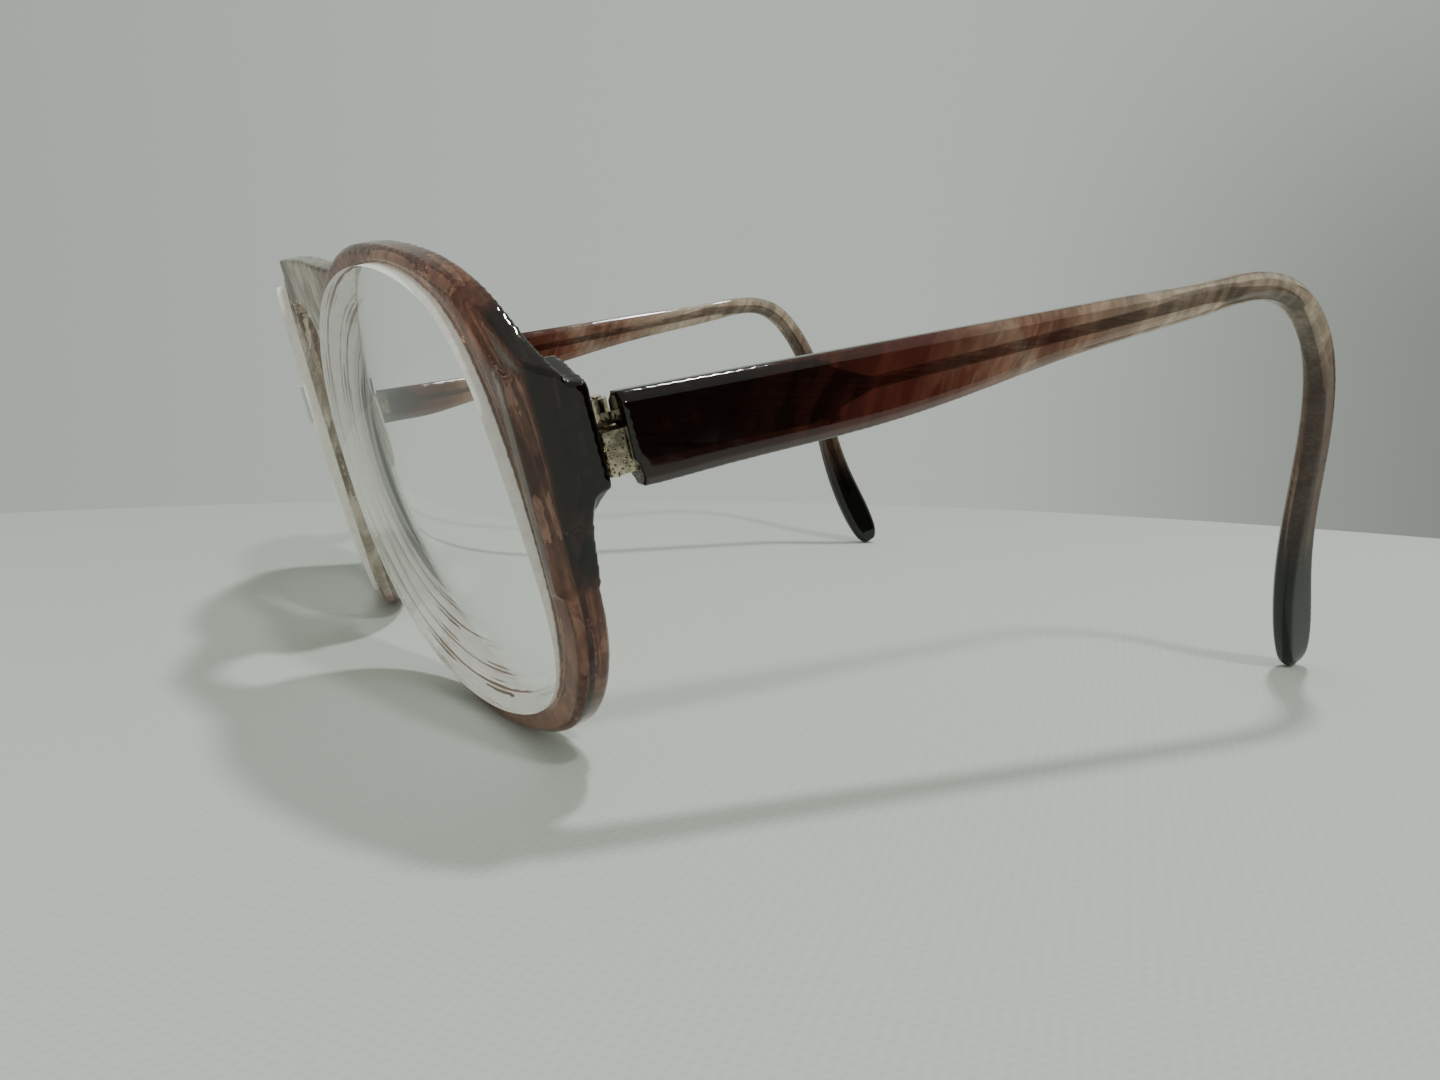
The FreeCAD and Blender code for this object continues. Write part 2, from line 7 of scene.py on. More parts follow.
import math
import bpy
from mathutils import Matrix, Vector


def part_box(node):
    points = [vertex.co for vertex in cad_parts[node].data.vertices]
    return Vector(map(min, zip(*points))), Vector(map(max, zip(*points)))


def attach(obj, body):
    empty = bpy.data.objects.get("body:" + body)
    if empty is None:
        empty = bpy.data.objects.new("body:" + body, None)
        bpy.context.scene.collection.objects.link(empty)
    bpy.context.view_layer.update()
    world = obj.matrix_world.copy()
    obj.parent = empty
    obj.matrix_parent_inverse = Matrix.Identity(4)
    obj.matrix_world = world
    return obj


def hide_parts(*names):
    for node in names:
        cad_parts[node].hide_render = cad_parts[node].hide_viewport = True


bl_info = {
    "name": "Acetate Eyeglasses",
    "version": (1, 0, 0),
    "blender": (4, 5, 0),
    "location": "3D Viewport > Sidebar > Eyeglasses",
    "description": "Polished acetate frame, ground lenses and gold hinges on a packed set of parts",
    "category": "Object",
}

import bmesh
import bpy
import numpy as np
from mathutils import Matrix, Vector

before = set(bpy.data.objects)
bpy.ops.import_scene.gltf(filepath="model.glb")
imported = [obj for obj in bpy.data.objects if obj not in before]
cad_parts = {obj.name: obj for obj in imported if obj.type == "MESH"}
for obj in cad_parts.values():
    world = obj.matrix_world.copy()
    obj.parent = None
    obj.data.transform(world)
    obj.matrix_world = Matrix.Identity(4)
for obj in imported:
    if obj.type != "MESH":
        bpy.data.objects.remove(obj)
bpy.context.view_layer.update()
SIDES = ("left", "right")
MM = 0.001

CAMERA_PLACE = Vector((0.16837, -0.08549, 0.04480))
CAMERA_RIGHT = Vector((0.4441, 0.8957, 0.0258))
CAMERA_UP = Vector((-0.1598, 0.0509, 0.9859))
SENSOR_WIDTH = 36.0
TABLE_CENTRE = Vector((0.2049, -0.0777, 0.0))
TABLE_SEGMENTS = 128
LAMPS = (                                           # name, place, diameter, watts
    ("Ceiling lamp", Vector((-0.144, 0.264, 1.2)), 0.11, 6.4),
    ("Side lamp", Vector((0.88, 0.02, 1.1)), 0.12, 5.0),
)

EYE_CENTRE = Vector((0.036, -0.05593, 0.02761))     # left eye, on the rim's front face
EYE_BACKWARDS = Vector((-0.1428, 0.956, 0.2564))    # square to that face
FRONT_PITCH = math.radians(15.05)                   # the front leans back this much on the table
TEMPLE_INSIDE_X = 0.0651                            # the cast blocks lie outside this
CAST_BLOCK_DEPTH = 3.0 * MM
RIDGE_HEIGHT = 0.55 * MM                            # ridge round a lens's edge
RIDGE_HALF_WIDTH = 0.65 * MM
SECTORS = 96                                        # for measuring a lens's outline
MERGE_DISTANCE = 2e-6
SQUARE_ON = 0.98                                    # least cosine of a face that looks a given way


# ---- settings -------------------------------------------------------------------------------
def colour_property(name, description, default):
    return bpy.props.FloatVectorProperty(
        name=name, description=description, default=default, subtype="COLOR", size=4, min=0.0, max=1.0
    )


def length_property(name, description, default):
    return bpy.props.FloatProperty(
        name=name, description=description, default=default, unit="LENGTH", min=0.0, precision=5
    )


class EyeglassesAcetate(bpy.types.PropertyGroup):
    """Colours and edge finish of the acetate."""

    clear: colour_property("Clear acetate", "Colour at the bridge and nose", (0.66, 0.62, 0.52, 1))
    smoke: colour_property("Smoke", "Grey-brown streaks in the clear part", (0.20, 0.15, 0.105, 1))
    brown: colour_property("Brown", "Main brown of the rims and temples", (0.40, 0.185, 0.115, 1))
    streak: colour_property("Streak", "Dark streaks in the brown", (0.115, 0.036, 0.024, 1))
    ember: colour_property("Ember", "Red-brown patches near the hinges", (0.13, 0.03, 0.02, 1))
    night: colour_property("Night", "Almost black acetate at the hinges and tips", (0.010, 0.0035, 0.0028, 1))
    ink: colour_property("Ink", "Grey-black end of a temple's tip", (0.007, 0.0065, 0.0062, 1))
    fawn: colour_property("Fawn", "Pale rear of a temple's shaft", (0.78, 0.62, 0.49, 1))
    umber: colour_property("Umber", "Smoky bow behind the ear", (0.15, 0.085, 0.058, 1))
    front_grain: length_property("Front tumbling", "Smallest detail left on the front", 0.30 * MM)
    temple_grain: length_property("Temple tumbling", "Smallest detail left on a temple", 0.25 * MM)
    pad_grain: length_property("Pad tumbling", "Smallest detail left on a nose pad", 0.14 * MM)


class EyeglassesLens(bpy.types.PropertyGroup):
    """Lens material and its ground edge."""

    tint: colour_property("Tint", "Colour of the lens material", (0.985, 0.995, 0.985, 1))
    ground: colour_property("Ground edge", "Frosted edge of the lens", (0.93, 0.91, 0.82, 1))
    # painted glow: emission on the ground edge standing in for light carried out through the lens
    painted_glow: bpy.props.FloatProperty(
        name="Edge glow", description="Light that leaves the lens at its edge", default=0.16, min=0.0
    )
    index: bpy.props.FloatProperty(
        name="Index", description="Refractive index", default=1.5, min=1.0, max=2.0
    )


class EyeglassesMetal(bpy.types.PropertyGroup):
    """Hinge, screw, rivet and core metals."""

    gold: colour_property("Gold", "Plating on the hinges", (0.80, 0.70, 0.52, 1))
    tarnish: colour_property("Tarnish", "Darker film in the recesses", (0.07, 0.052, 0.034, 1))
    steel: colour_property("Core steel", "Wire and shield inside the temples", (0.16, 0.14, 0.13, 1))
    grain_size: length_property("Cast grain", "Size of the grains on the cast end", 0.34 * MM)
    grain_count: bpy.props.FloatProperty(
        name="Grain density", description="Grains per square metre", default=5.5e6, min=0.0
    )


class EyeglassesStage(bpy.types.PropertyGroup):
    """Table, light and camera."""

    table_radius: length_property("Table radius", "Radius of the round table", 0.364)
    table_colour: colour_property("Table", "Colour of the table cover", (0.63, 0.67, 0.61, 1))
    wall_colour: colour_property("Surroundings", "Colour of the plain surroundings", (0.53, 0.575, 0.52, 1))
    camera_lens: bpy.props.FloatProperty(
        name="Camera lens", description="Focal length", default=29.185, unit="CAMERA"
    )


# ---- node trees -----------------------------------------------------------------------------
class Graph:
    """Short way to write down a node tree: add nodes, set their values and link them."""

    def __init__(self, tree):
        self.tree = tree

    def add(self, kind, inputs=None, **settings):
        node = self.tree.nodes.new(kind)
        for name, value in settings.items():
            setattr(node, name, value)
        for name, value in (inputs or {}).items():
            self.put(node.inputs[name], value)
        return node

    def put(self, socket, value):
        if isinstance(value, bpy.types.NodeSocket):
            self.tree.links.new(value, socket)
        else:
            socket.default_value = value

    def math(self, operation, first, second=0.0, clamp=False):
        node = self.add("ShaderNodeMath", operation=operation, use_clamp=clamp)
        self.put(node.inputs[0], first)
        self.put(node.inputs[1], second)
        return node.outputs[0]

    def ramp(self, value, low, high, to_low=0.0, to_high=1.0):
        inputs = {"Value": value, "From Min": low, "From Max": high, "To Min": to_low, "To Max": to_high}
        node = self.add("ShaderNodeMapRange", inputs, interpolation_type="SMOOTHSTEP")
        return node.outputs["Result"]

    def mix(self, factor, first, second):
        node = self.add("ShaderNodeMix", data_type="RGBA")
        self.put(node.inputs["Factor"], factor)
        self.put(node.inputs[6], first)
        self.put(node.inputs[7], second)
        return node.outputs[2]

    def noise(self, vector, scale, detail=3.0, roughness=0.5, distortion=0.0):
        inputs = {"Vector": vector, "Scale": scale, "Detail": detail, "Roughness": roughness}
        inputs["Distortion"] = distortion
        return self.add("ShaderNodeTexNoise", inputs).outputs["Fac"]

    def group(self, tree, inputs):
        node = self.add("ShaderNodeGroup", node_tree=tree)
        for name, value in inputs.items():
            self.put(node.inputs[name], value)
        return node


def new_group(name, inputs, outputs):
    """A shader node group with named float, vector or colour sockets, and its graph."""
    tree = bpy.data.node_groups.new(name, "ShaderNodeTree")
    for label, kind, default in inputs:
        socket = tree.interface.new_socket(label, in_out="INPUT", socket_type="NodeSocket" + kind)
        if default is not None:
            socket.default_value = default
    for label, kind in outputs:
        tree.interface.new_socket(label, in_out="OUTPUT", socket_type="NodeSocket" + kind)
    graph = Graph(tree)
    source = graph.add("NodeGroupInput")
    sink = graph.add("NodeGroupOutput")
    return graph, source.outputs, sink.inputs


def marbled_streaks():
    """Long wavering streaks and soft clouds, as in laminated acetate."""
    if "Marbled streaks" in bpy.data.node_groups:
        return bpy.data.node_groups["Marbled streaks"]
    graph, given, out = new_group(
        "Marbled streaks",
        [
            ("Vector", "Vector", None),
            ("Slant", "Vector", (0.0, 0.0, 0.0)),
            ("Stretch", "Vector", (1.0, 1.0, 1.0)),
            ("Streaks per metre", "Float", 300.0),
            ("Clouds per metre", "Float", 90.0),
        ],
        [("Streaks", "Float"), ("Fine", "Float"), ("Clouds", "Float")],
    )
    turned = graph.add("ShaderNodeVectorRotate", rotation_type="EULER_XYZ")
    graph.put(turned.inputs["Vector"], given["Vector"])
    graph.put(turned.inputs["Rotation"], given["Slant"])
    bend = graph.add("ShaderNodeTexNoise", {"Vector": given["Vector"], "Scale": 70.0, "Detail": 2.0})
    sway = graph.add("ShaderNodeVectorMath", operation="SCALE")
    graph.put(sway.inputs[0], bend.outputs["Color"])
    graph.put(sway.inputs["Scale"], 5.0 * MM)
    swayed = graph.add("ShaderNodeVectorMath", operation="ADD")
    graph.put(swayed.inputs[0], turned.outputs[0])
    graph.put(swayed.inputs[1], sway.outputs[0])
    pulled = graph.add("ShaderNodeVectorMath", operation="MULTIPLY")
    graph.put(pulled.inputs[0], swayed.outputs[0])
    graph.put(pulled.inputs[1], given["Stretch"])
    broad = graph.noise(pulled.outputs[0], given["Streaks per metre"], 3.0, 0.55, 0.6)
    fine_scale = graph.math("MULTIPLY", given["Streaks per metre"], 3.4)
    fine = graph.noise(pulled.outputs[0], fine_scale, 2.0, 0.6, 0.3)
    clouds = graph.noise(given["Vector"], given["Clouds per metre"], 2.0, 0.5, 0.8)
    graph.put(out["Streaks"], graph.ramp(broad, 0.42, 0.58))
    graph.put(out["Fine"], graph.ramp(fine, 0.42, 0.62))
    graph.put(out["Clouds"], graph.ramp(clouds, 0.36, 0.64))
    return graph.tree


def handled_polish():
    """Fine wear of a polished surface: roughness from smears and hairlines, and a faint ripple."""
    if "Handled polish" in bpy.data.node_groups:
        return bpy.data.node_groups["Handled polish"]
    graph, given, out = new_group(
        "Handled polish",
        [("Vector", "Vector", None), ("Least", "Float", 0.05), ("Most", "Float", 0.2)],
        [("Roughness", "Float"), ("Height", "Float")],
    )
    smear = graph.noise(given["Vector"], 260.0, 4.0, 0.6, 1.5)
    along = graph.add("ShaderNodeVectorMath", operation="MULTIPLY")
    graph.put(along.inputs[0], given["Vector"])
    along.inputs[1].default_value = (2600.0, 260.0, 1500.0)
    hairline = graph.noise(along.outputs[0], 1.0, 2.0, 0.5)
    worn = graph.math("MULTIPLY", graph.ramp(smear, 0.42, 0.72), graph.ramp(hairline, 0.4, 0.7, 0.5, 1.0))
    span = graph.math("SUBTRACT", given["Most"], given["Least"])
    graph.put(out["Roughness"], graph.math("ADD", given["Least"], graph.math("MULTIPLY", worn, span)))
    graph.put(out["Height"], graph.noise(given["Vector"], 700.0, 2.0, 0.5))
    return graph.tree


def new_material(name):
    """Material with an empty tree but for its Principled shader; returns it, its graph and the shader."""
    material = bpy.data.materials.new(name)
    material.use_nodes = True
    graph = Graph(material.node_tree)
    graph.tree.nodes.clear()
    shader = graph.add("ShaderNodeBsdfPrincipled")
    output = graph.add("ShaderNodeOutputMaterial")
    graph.put(output.inputs["Surface"], shader.outputs["BSDF"])
    return material, graph, shader


def object_place(graph):
    return graph.add("ShaderNodeTexCoord").outputs["Object"]


def shaded(colour, share):
    """A colour darkened to a share of itself."""
    return tuple(share * part for part in colour[:3]) + (1.0,)


def polish_on(graph, shader, place, least, most, height=0.02):
    """Adds handled polish to a shader's roughness and normal."""
    worn = graph.group(handled_polish(), {"Vector": place, "Least": least, "Most": most})
    graph.put(shader.inputs["Roughness"], worn.outputs["Roughness"])
    ripple = {"Strength": height, "Distance": 0.1 * MM, "Height": worn.outputs["Height"]}
    bump = graph.add("ShaderNodeBump", ripple)
    graph.put(shader.inputs["Normal"], bump.outputs["Normal"])


def acetate_glass(shader, through):
    shader.inputs["IOR"].default_value = 1.49
    shader.inputs["Transmission Weight"].default_value = through
    shader.inputs["Metallic"].default_value = 0.0


# ---- acetate --------------------------------------------------------------------------------
def hinge_place():
    low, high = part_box("hinge_front_leaf_left")
    return (low + high) / 2


def folded_place(graph):
    """Object coordinates with the right side folded on the left, so both sides wear the same pattern."""
    place = object_place(graph)
    x, y, z = graph.add("ShaderNodeSeparateXYZ", {"Vector": place}).outputs
    aside = graph.math("ABSOLUTE", x)
    return place, aside, y, z, graph.add("ShaderNodeCombineXYZ", {"X": aside, "Y": y, "Z": z}).outputs[0]


def front_acetate():
    """Clear at the bridge, streaky brown round the eyes, almost black at the end pieces, with a painted shade
    line along the outer rim's front edge below the hinges.
    """
    shades = bpy.context.scene.eyeglasses_acetate
    material, graph, shader = new_material("Front acetate")
    place, aside, _, z, folded = folded_place(graph)
    pattern = {"Vector": folded, "Slant": (0.0, 0.30, 0.0), "Stretch": (1.0, 0.7, 0.16)}
    pattern.update({"Streaks per metre": 520.0, "Clouds per metre": 95.0})
    broad, fine, clouds = graph.group(marbled_streaks(), pattern).outputs
    reach = graph.math("ADD", aside, graph.math("MULTIPLY", clouds, 8.0 * MM))
    browning = graph.ramp(reach, 13.0 * MM, 30.0 * MM)
    pale = graph.mix(graph.math("MULTIPLY", broad, 0.8), shades.clear, shades.smoke)
    rich = graph.mix(graph.math("MULTIPLY", fine, 0.6), shades.brown, shades.ember)
    rich = graph.mix(graph.math("MULTIPLY", broad, 0.8), rich, shades.streak)
    colour = graph.mix(browning, pale, rich)
    hinge = hinge_place()
    away = graph.add("ShaderNodeVectorMath", operation="DISTANCE")
    graph.put(away.inputs[0], folded)
    away.inputs[1].default_value = hinge + Vector((3.0, -1.0, 0.0)) * MM
    nearness = graph.math("SUBTRACT", away.outputs["Value"], graph.math("MULTIPLY", clouds, 4.0 * MM))
    nearness = graph.math("SUBTRACT", nearness, graph.math("MULTIPLY", broad, 2.0 * MM))
    behind = graph.add("ShaderNodeVectorMath", operation="DOT_PRODUCT")
    graph.put(behind.inputs[0], folded)
    behind.inputs[1].default_value = EYE_BACKWARDS
    depth = graph.math("SUBTRACT", behind.outputs["Value"], EYE_CENTRE.dot(EYE_BACKWARDS))
    laminate = graph.ramp(depth, 0.7 * MM, 1.3 * MM)
    ember = graph.math("MULTIPLY", graph.ramp(nearness, 19.0 * MM, 12.0 * MM), laminate)
    night = graph.math("MULTIPLY", graph.ramp(nearness, 15.0 * MM, 10.5 * MM), laminate)
    # painted shade: a thin near-black line along the rim's front-outer edge below the hinge, standing in for
    # the darkening where that edge refracts
    off_painted_edge = graph.math("ABSOLUTE", graph.math("SUBTRACT", depth, 1.15 * MM))
    outer_rim = graph.ramp(aside, 55.0 * MM, 59.0 * MM)
    painted_edge_shade = graph.math("MULTIPLY", graph.ramp(off_painted_edge, 0.42 * MM, 0.22 * MM), outer_rim)
    below_hinge = graph.ramp(z, hinge.z - 3.0 * MM, hinge.z - 6.0 * MM)
    painted_edge_shade = graph.math("MULTIPLY", painted_edge_shade, below_hinge)
    colour = graph.mix(painted_edge_shade, colour, shades.night)
    colour = graph.mix(ember, colour, shades.ember)
    colour = graph.mix(night, colour, shades.night)
    graph.put(shader.inputs["Base Color"], colour)
    acetate_glass(shader, 0.80)
    polish_on(graph, shader, place, 0.04, 0.13)
    return material


def temple_acetate():
    """Near-black at the hinge, streaky translucent brown along the shaft, smoky down to the dark tip."""
    shades = bpy.context.scene.eyeglasses_acetate
    material, graph, shader = new_material("Temple acetate")
    place, _, y, z, folded = folded_place(graph)
    pattern = {"Vector": folded, "Slant": (0.42, 0.0, 0.0), "Stretch": (0.5, 1.0, 0.13)}
    pattern.update({"Streaks per metre": 430.0, "Clouds per metre": 80.0})
    broad, fine, clouds = graph.group(marbled_streaks(), pattern).outputs
    low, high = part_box("temple_left")
    front_end, back_end, top = low.y, high.y, high.z
    along = graph.math("SUBTRACT", y, front_end)
    length = back_end - front_end
    rich = graph.mix(graph.math("MULTIPLY", fine, 0.55), shades.brown, shades.ember)
    rich = graph.mix(graph.math("MULTIPLY", broad, 0.8), rich, shades.streak)
    pale = graph.mix(graph.math("MULTIPLY", fine, 0.35), shades.fawn, shades.brown)
    pale = graph.mix(graph.math("MULTIPLY", broad, 0.62), pale, shades.smoke)
    wander = graph.math("ADD", along, graph.math("MULTIPLY", clouds, 14.0 * MM))
    colour = graph.mix(graph.ramp(wander, 0.40 * length, 0.66 * length), rich, pale)
    drifting = graph.math("ADD", along, graph.math("MULTIPLY", broad, 10.0 * MM))
    colour = graph.mix(graph.ramp(drifting, 0.42 * length, 0.33 * length), colour, shades.ember)
    night_front = graph.ramp(drifting, 0.36 * length, 0.16 * length)
    colour = graph.mix(graph.math("MULTIPLY", night_front, 0.88), colour, shades.night)
    drop = graph.math("SUBTRACT", top, z)
    behind = graph.ramp(y, back_end - 30.0 * MM, back_end - 18.0 * MM)
    sinking = graph.math("MULTIPLY", graph.ramp(drop, 4.0 * MM, 14.0 * MM), behind)
    smoky = graph.mix(graph.math("MULTIPLY", broad, 0.75), shades.umber, shades.streak)
    colour = graph.mix(graph.math("MULTIPLY", sinking, 0.92), colour, smoky)
    tip = graph.math("MULTIPLY", graph.ramp(drop, 28.0 * MM, 42.0 * MM), behind)
    colour = graph.mix(tip, colour, shades.ink)
    graph.put(shader.inputs["Base Color"], colour)
    acetate_glass(shader, 0.78)
    polish_on(graph, shader, place, 0.05, 0.16)
    return material


def pad_acetate():
    """Clear pads, a little hazed where they touch the skin."""
    shades = bpy.context.scene.eyeglasses_acetate
    material, graph, shader = new_material("Pad acetate")
    place = object_place(graph)
    pattern = {"Vector": place, "Slant": (0.2, 0.4, 0.0), "Stretch": (1.0, 1.0, 0.3)}
    clouds = graph.group(marbled_streaks(), pattern).outputs["Clouds"]
    colour = graph.mix(graph.math("MULTIPLY", clouds, 0.35), shades.clear, shades.smoke)
    graph.put(shader.inputs["Base Color"], colour)
    acetate_glass(shader, 0.93)
    polish_on(graph, shader, place, 0.10, 0.30)
    return material


# ---- lens materials ---------------------------------------------------------------------------
def lens_glass():
    """Polished lens faces with a faint film of dust and smears."""
    lens = bpy.context.scene.eyeglasses_lens
    material, graph, shader = new_material("Lens glass")
    place = object_place(graph)
    graph.put(shader.inputs["Base Color"], lens.tint)
    shader.inputs["IOR"].default_value = lens.index
    shader.inputs["Transmission Weight"].default_value = 1.0
    smear = graph.noise(place, 160.0, 4.0, 0.6, 1.2)
    graph.put(shader.inputs["Roughness"], graph.ramp(smear, 0.45, 0.8, 0.0, 0.03))
    return material


def ground_edge():
    """The frosted edge left by the grinding wheel, with a painted glow: the edge gives off light though it is
    no lamp.
    """
    lens = bpy.context.scene.eyeglasses_lens
    material, graph, shader = new_material("Ground lens edge")
    place = object_place(graph)
    mottle = graph.noise(place, 900.0, 3.0, 0.6)
    mottled = graph.mix(graph.ramp(mottle, 0.3, 0.7), lens.ground, shaded(lens.ground, 0.8))
    graph.put(shader.inputs["Base Color"], mottled)
    graph.put(shader.inputs["Roughness"], graph.ramp(mottle, 0.3, 0.7, 0.5, 0.7))
    bump = graph.add("ShaderNodeBump", {"Strength": 0.3, "Distance": 0.05 * MM, "Height": mottle})
    graph.put(shader.inputs["Normal"], bump.outputs["Normal"])
    # painted glow: the ground edge emits light in its own colour
    graph.put(shader.inputs["Emission Color"], lens.ground)
    shader.inputs["Emission Strength"].default_value = lens.painted_glow
    return material


# ---- metals -----------------------------------------------------------------------------------
def gold_plate(name, least, most, tarnish, painted_shade_share=1.0):
    """Plated metal: bright on the faces, filmed in patches, with fine drawing lines; a share below 1 darkens
    the gold as painted shade.
    """
    metal = bpy.context.scene.eyeglasses_metal
    material, graph, shader = new_material(name)
    place = object_place(graph)
    film = graph.noise(place, 1400.0, 4.0, 0.65, 0.5)
    shade = graph.math("MULTIPLY", graph.ramp(film, 0.42, 0.68), tarnish)
    graph.put(shader.inputs["Base Color"], graph.mix(shade, shaded(metal.gold, painted_shade_share), metal.tarnish))
    shader.inputs["Metallic"].default_value = 1.0
    polish_on(graph, shader, place, least, most, 0.1)
    return material


def core_steel():
    """Drawn wire with its die lines."""
    metal = bpy.context.scene.eyeglasses_metal
    material, graph, shader = new_material("Core steel")
    place = object_place(graph)
    drawn = graph.add("ShaderNodeVectorMath", operation="MULTIPLY")
    graph.put(drawn.inputs[0], place)
    drawn.inputs[1].default_value = (2400.0, 60.0, 2400.0)
    lines = graph.noise(drawn.outputs[0], 1.0, 3.0, 0.6)
    lined = graph.mix(graph.ramp(lines, 0.35, 0.65), metal.steel, shaded(metal.steel, 0.35))
    graph.put(shader.inputs["Base Color"], lined)
    graph.put(shader.inputs["Roughness"], graph.ramp(lines, 0.3, 0.7, 0.3, 0.5))
    bump = graph.add("ShaderNodeBump", {"Strength": 0.2, "Distance": 0.05 * MM, "Height": lines})
    graph.put(shader.inputs["Normal"], bump.outputs["Normal"])
    shader.inputs["Metallic"].default_value = 0.9
    return material


# ---- shapes -----------------------------------------------------------------------------------
def show_mesh(name, mesh, materials, body, node):
    """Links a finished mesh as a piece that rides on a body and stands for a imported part."""
    piece = bpy.data.objects.new(name, mesh)
    bpy.context.scene.collection.objects.link(piece)
    if not mesh.materials:
        for material in materials:
            mesh.materials.append(material)
    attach(piece, body)
    if node:
        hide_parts(node)
    return piece


def merged_copy(node):
    """The part's mesh with its loose triangles joined."""
    work = bmesh.new()
    work.from_mesh(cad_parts[node].data)
    bmesh.ops.remove_doubles(work, verts=work.verts, dist=MERGE_DISTANCE)
    return work


def tumbled_copy(node, inserts, voxel, rounds):
    """A copy of a part with the metal sunk in it filled in and all its edges softened by tumbling."""
    work = merged_copy(node)
    for insert in inserts:
        work.from_mesh(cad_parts[insert].data)
    bmesh.ops.remove_doubles(work, verts=work.verts, dist=MERGE_DISTANCE)
    mesh = bpy.data.meshes.new(node + "_tumbled")
    work.to_mesh(mesh)
    work.free()
    holder = bpy.data.objects.new(node + "_tumbled", mesh)
    bpy.context.scene.collection.objects.link(holder)
    remesh = holder.modifiers.new("Remesh", "REMESH")
    remesh.mode = "VOXEL"
    remesh.voxel_size = voxel
    remesh.use_smooth_shade = True
    relax = holder.modifiers.new("Relax", "SMOOTH")
    relax.factor = 0.5
    relax.iterations = rounds
    depsgraph = bpy.context.evaluated_depsgraph_get()
    result = bpy.data.meshes.new_from_object(holder.evaluated_get(depsgraph))
    bpy.data.objects.remove(holder)
    result.shade_smooth()
    return result


class LensForm:
    """Axis, outline and the two ball surfaces of a packed lens, measured from its mesh."""

    harmonics = 10
    least_area = 2e-7       # slivers have no trustworthy normal
    fit_rounds = 6

    def __init__(self, node):
        work = merged_copy(node)
        work.normal_update()
        forward = [face for face in work.faces if face.normal.y < -0.8]
        spread = sum((face.normal * face.calc_area() for face in forward), Vector())
        self.axis = np.array(spread.normalized())
        large = [face for face in work.faces if face.calc_area() > self.least_area]
        faces = [(np.array(face.normal) @ self.axis, face) for face in large]
        front = {vert for side, face in faces if side > 0.93 for vert in face.verts}
        back = {vert for side, face in faces if side < -0.80 for vert in face.verts}
        everything = np.array([vert.co for vert in work.verts])
        front_places = np.array([vert.co for vert in front])
        back_places = np.array([vert.co for vert in back])
        work.free()
        self.centre = (everything.min(0) + everything.max(0)) / 2
        self.front_ball = self.ball_through(front_places)
        self.back_ball = self.ball_through(back_places)
        self.set_directions(self.axis)
        ridge = everything[self.outermost(everything)[0]]
        square = np.linalg.svd(ridge - ridge.mean(0))[2][2]
        self.set_directions(square * math.copysign(1.0, square @ self.axis))
        self.rim, self.crest = self.outline(everything)

    def set_directions(self, axis):
        self.axis = axis
        self.across = np.cross([0.0, 0.0, 1.0], axis)
        self.across /= np.linalg.norm(self.across)
        self.up = np.cross(axis, self.across)

    def ball_through(self, places):
        """Centre and radius of the sphere through most of the places, with stray ones dropped."""
        origin = places.mean(0)
        places = places - origin
        for _ in range(self.fit_rounds):
            left = np.column_stack([2 * places, np.ones(len(places))])
            solved = np.linalg.lstsq(left, (places ** 2).sum(1), rcond=None)[0]
            radius = math.sqrt(solved[3] + solved[:3] @ solved[:3])
            miss = np.abs(np.linalg.norm(places - solved[:3], axis=1) - radius)
            places = places[miss <= max(3.0 * np.median(miss), 1e-6)]
        return solved[:3] + origin, radius

    def outermost(self, places):
        """The vertex furthest from the axis in each sector: numbers, angles and radii."""
        aside, upwards = (places - self.centre) @ self.across, (places - self.centre) @ self.up
        angle, radius = np.arctan2(upwards, aside), np.hypot(aside, upwards)
        sector = np.floor((angle + math.pi) / (2 * math.pi) * SECTORS).astype(int) % SECTORS
        members = [np.where(sector == number, radius, -1) for number in range(SECTORS)]
        chosen = [np.argmax(radii) for radii in members if radii.max() > 0]
        return chosen, angle[chosen], radius[chosen]

    def outline(self, places):
        """Smooth radius round the axis and height along it of the outermost packed vertices."""
        chosen, angle, radius = self.outermost(places)
        radii = np.linalg.lstsq(self.terms(angle), radius, rcond=None)[0]
        return radii, float(np.median((places[chosen] - self.centre) @ self.axis))

    def terms(self, angle):
        waves = [np.ones_like(angle)]
        for k in range(1, self.harmonics + 1):
            waves += [np.cos(k * angle), np.sin(k * angle)]
        return np.column_stack(waves)

    def on_ball(self, ball, across, up):
        """The point of a ball surface above a place in the lens plane, on the side nearer the lens."""
        foot = self.centre + np.outer(across, self.across) + np.outer(up, self.up)
        middle, radius = ball
        offset = foot - middle
        along = offset @ self.axis
        rest = radius ** 2 - ((offset ** 2).sum(1) - along ** 2)
        root = np.sqrt(np.maximum(rest, 0))
        near = np.where(np.abs(-along - root) < np.abs(-along + root), -along - root, -along + root)
        return foot + np.outer(near, self.axis)


